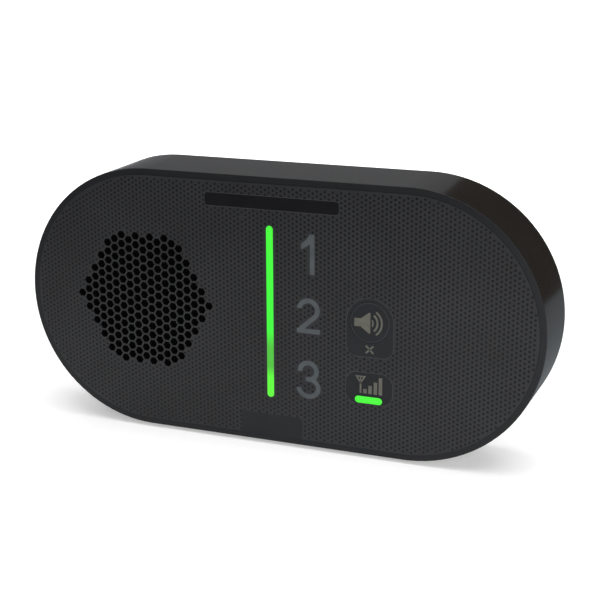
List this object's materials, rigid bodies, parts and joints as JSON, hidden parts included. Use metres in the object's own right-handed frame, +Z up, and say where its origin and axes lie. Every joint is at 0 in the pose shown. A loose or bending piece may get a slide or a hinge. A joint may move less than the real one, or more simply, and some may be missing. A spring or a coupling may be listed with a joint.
{
  "type": "medical alert base station",
  "caption": "Stadium-shaped emergency call base with a loudspeaker grille, an upright light bar, lit numerals, a cancel key and a signal lamp.",
  "frame": {"origin": "on the standing surface, under the middle of the case's length and depth", "axes": "+X to the right seen from the front, the front fascia faces -Y, +Z up"},
  "size_m": [0.2016, 0.0298, 0.1017],
  "materials": {
    "shell_black": "glossy black moulding with a satin front rim",
    "fascia_black": "dark grey with fine dimples",
    "cover_black": "fine spark texture",
    "inlay_dark": "smooth satin",
    "key_dark": "smooth satin with a printed symbol",
    "light_green": "diffusing, lit green",
    "digit_grey": "smoked diffuser, unlit",
    "baffle_white": "white reflector",
    "tape_black": "closed-cell foam",
    "silicone": "translucent silicone",
    "carbon": "carbon pill",
    "board_green": "solder mask",
    "chip_black": "moulded",
    "shield_steel": "tinned shield",
    "lamp_white": "clear resin",
    "can_aluminium": "sleeve",
    "cloth_black": "woven",
    "speaker_steel": "pressed steel",
    "ferrite": "sintered ferrite",
    "paper_black": "pressed paper",
    "surround_rubber": "soft",
    "copper": "wire and plated pin",
    "screw_steel": "zinc plated",
    "slider_grey": "grip grooves",
    "film_amber": "flexible printed antenna",
    "lead_black": "insulated wire",
    "cell_wrap": "sleeved cells"
  },
  "bodies": {
    "base": {"antenna_lead": "lead_black", "back_cover": "cover_black", "badge_plate": "inlay_dark", "bar_leds": "lamp_white", "battery_cells": "cell_wrap", "battery_connector": "chip_black", "battery_lead": "lead_black", "board_screws": "screw_steel", "cancel_plate": "inlay_dark", "capacitors": "can_aluminium", "case_screws": "screw_steel", "case_shell": "shell_black", "cellular_antenna": "film_amber", "cellular_module": "shield_steel", "dc_jack": "chip_black", "dc_jack_pin": "copper", "digit_leds": "lamp_white", "digit_lens_1": "digit_grey", "digit_lens_2": "digit_grey", "digit_lens_3": "digit_grey", "fascia_tape": "tape_black", "front_fascia": "fascia_black", "grille_cloth": "cloth_black", "key_dome": "silicone", "label_plate": "inlay_dark", "light_bar_lens": "light_green", "light_box": "baffle_white", "main_board": "board_green", "microphone": "shield_steel", "microphone_boot": "surround_rubber", "power_switch": "chip_black", "processor": "chip_black", "receiver_antenna": "lead_black", "receiver_module": "shield_steel", "rubber_feet": "surround_rubber", "signal_leds": "lamp_white", "signal_lens": "light_green", "signal_light_box": "baffle_white", "signal_plate": "inlay_dark", "sim_socket": "shield_steel", "speaker_back_pole": "speaker_steel", "speaker_connector": "chip_black", "speaker_frame": "speaker_steel", "speaker_front_pole": "speaker_steel", "speaker_gasket": "tape_black", "speaker_lead": "lead_black", "speaker_magnet": "ferrite", "speaker_screws": "screw_steel", "speaker_spider": "cloth_black", "speaker_surround": "surround_rubber"},
    "cancel_key": {"cancel_key": "key_dark", "key_contact": "carbon"},
    "battery_door": {"battery_door": "cover_black"},
    "switch_slider": {"switch_slider": "slider_grey"},
    "speaker_cone": {"speaker_cone": "paper_black", "dust_cap": "paper_black", "voice_coil": "copper"}
  },
  "joints": [
    {"name": "cancel_press", "type": "slide", "parent": "base", "child": "cancel_key", "axis": [0, 1, 0], "range_m": [0, 0.001], "stiffness_N_per_m": 1200, "deforming": ["key_dome"]},
    {"name": "battery_door_hinge", "type": "hinge", "parent": "base", "child": "battery_door", "pos_m": [0.02775, 0.0138, 0.0689], "axis": [1, 0, 0], "range_deg": [0, 98]},
    {"name": "power_switch_slide", "type": "slide", "parent": "base", "child": "switch_slider", "axis": [0, 0, 1], "range_m": [0, 0.002]},
    {"name": "speaker_cone_travel", "type": "slide", "parent": "base", "child": "speaker_cone", "axis": [0, 1, 0], "range_m": [-0.0005, 0.0005], "stiffness_N_per_m": 1500, "deforming": ["speaker_surround", "speaker_spider"]}
  ]
}
